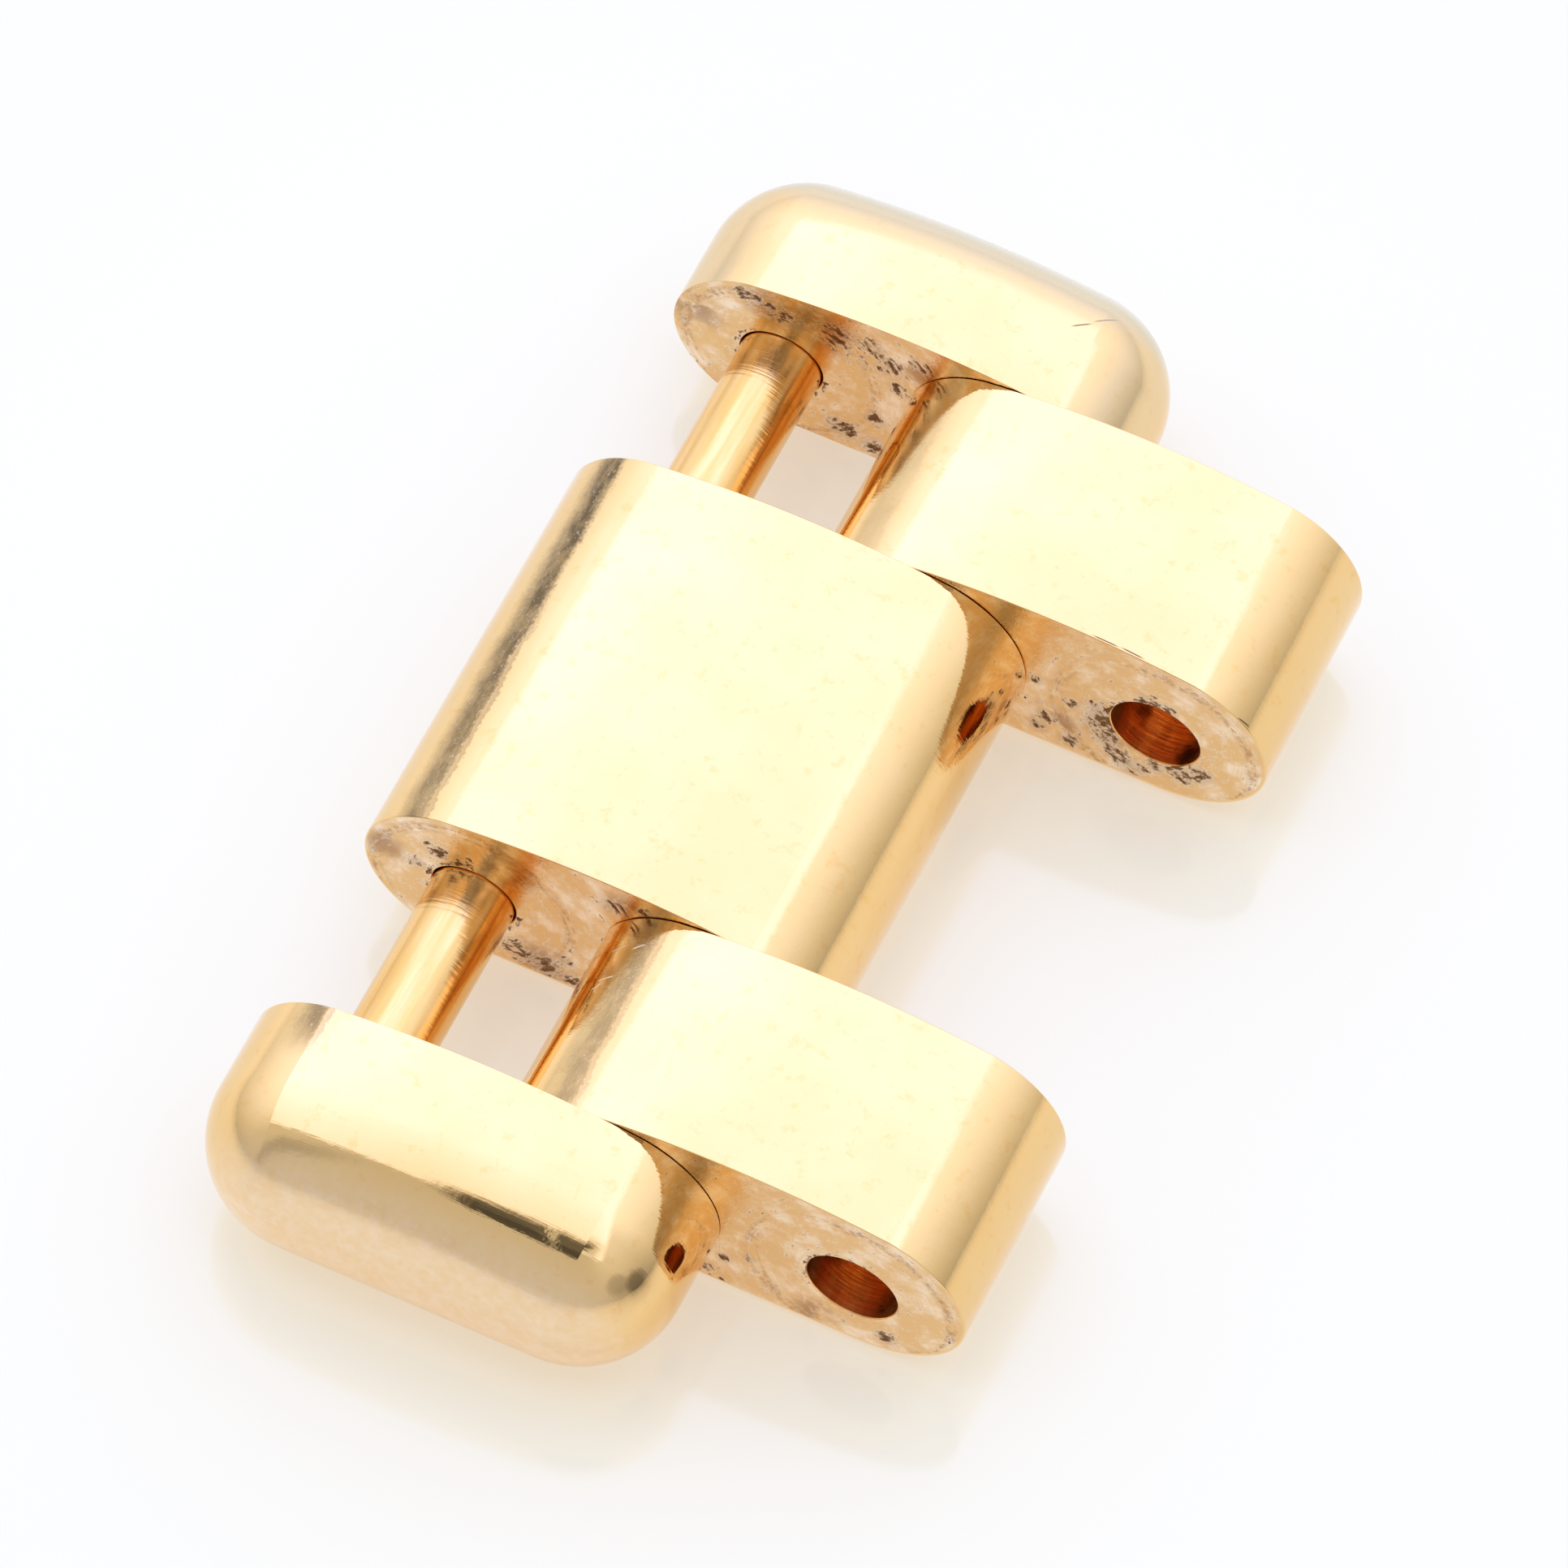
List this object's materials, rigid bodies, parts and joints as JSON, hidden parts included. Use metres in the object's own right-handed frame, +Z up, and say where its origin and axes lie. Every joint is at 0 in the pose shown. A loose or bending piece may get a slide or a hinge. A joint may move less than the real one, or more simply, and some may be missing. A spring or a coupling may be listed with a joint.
{
  "type": "watch bracelet link",
  "caption": "Removable watch bracelet link: wide centre and rounded outer links in one row, narrow links hinged between them, with a withdrawable pin.",
  "frame": {"origin": "on the underside's plane, below the hinge pin's axis, midway between the two outer links' outer sides", "axes": "+X along the bracelet from the connecting pin towards the free bores, +Y along the pins towards the connecting pin's head, +Z up through the crowned side"},
  "size_m": [0.0086, 0.0146, 0.0026],
  "materials": {
    "centre_link_gold": "polished",
    "outer_link_near_gold": "polished",
    "outer_link_far_gold": "polished",
    "intermediate_link_near_gold": "polished",
    "intermediate_link_far_gold": "polished",
    "hinge_pin_gold": "polished",
    "connecting_pin_gold": "polished"
  },
  "bodies": {
    "outer_and_centre_row": {"centre_link": "centre_link_gold", "outer_link_near": "outer_link_near_gold", "outer_link_far": "outer_link_far_gold", "hinge_pin": "hinge_pin_gold"},
    "near_intermediate": {"intermediate_link_near": "intermediate_link_near_gold"},
    "far_intermediate": {"intermediate_link_far": "intermediate_link_far_gold"},
    "removable_pin": {"connecting_pin": "connecting_pin_gold"}
  },
  "joints": [
    {"name": "near_link_swing", "type": "hinge", "parent": "outer_and_centre_row", "child": "near_intermediate", "pos_m": [0, -0.00391, 0.00118], "axis": [0, 1, 0], "range_deg": [-137, 143]},
    {"name": "far_link_swing", "type": "hinge", "parent": "outer_and_centre_row", "child": "far_intermediate", "pos_m": [0, 0.00391, 0.00118], "axis": [0, 1, 0], "range_deg": [-137, 143]},
    {"name": "connecting_pin_draw", "type": "slide", "parent": "outer_and_centre_row", "child": "removable_pin", "axis": [0, 1, 0], "range_m": [0, 0.0145]}
  ]
}
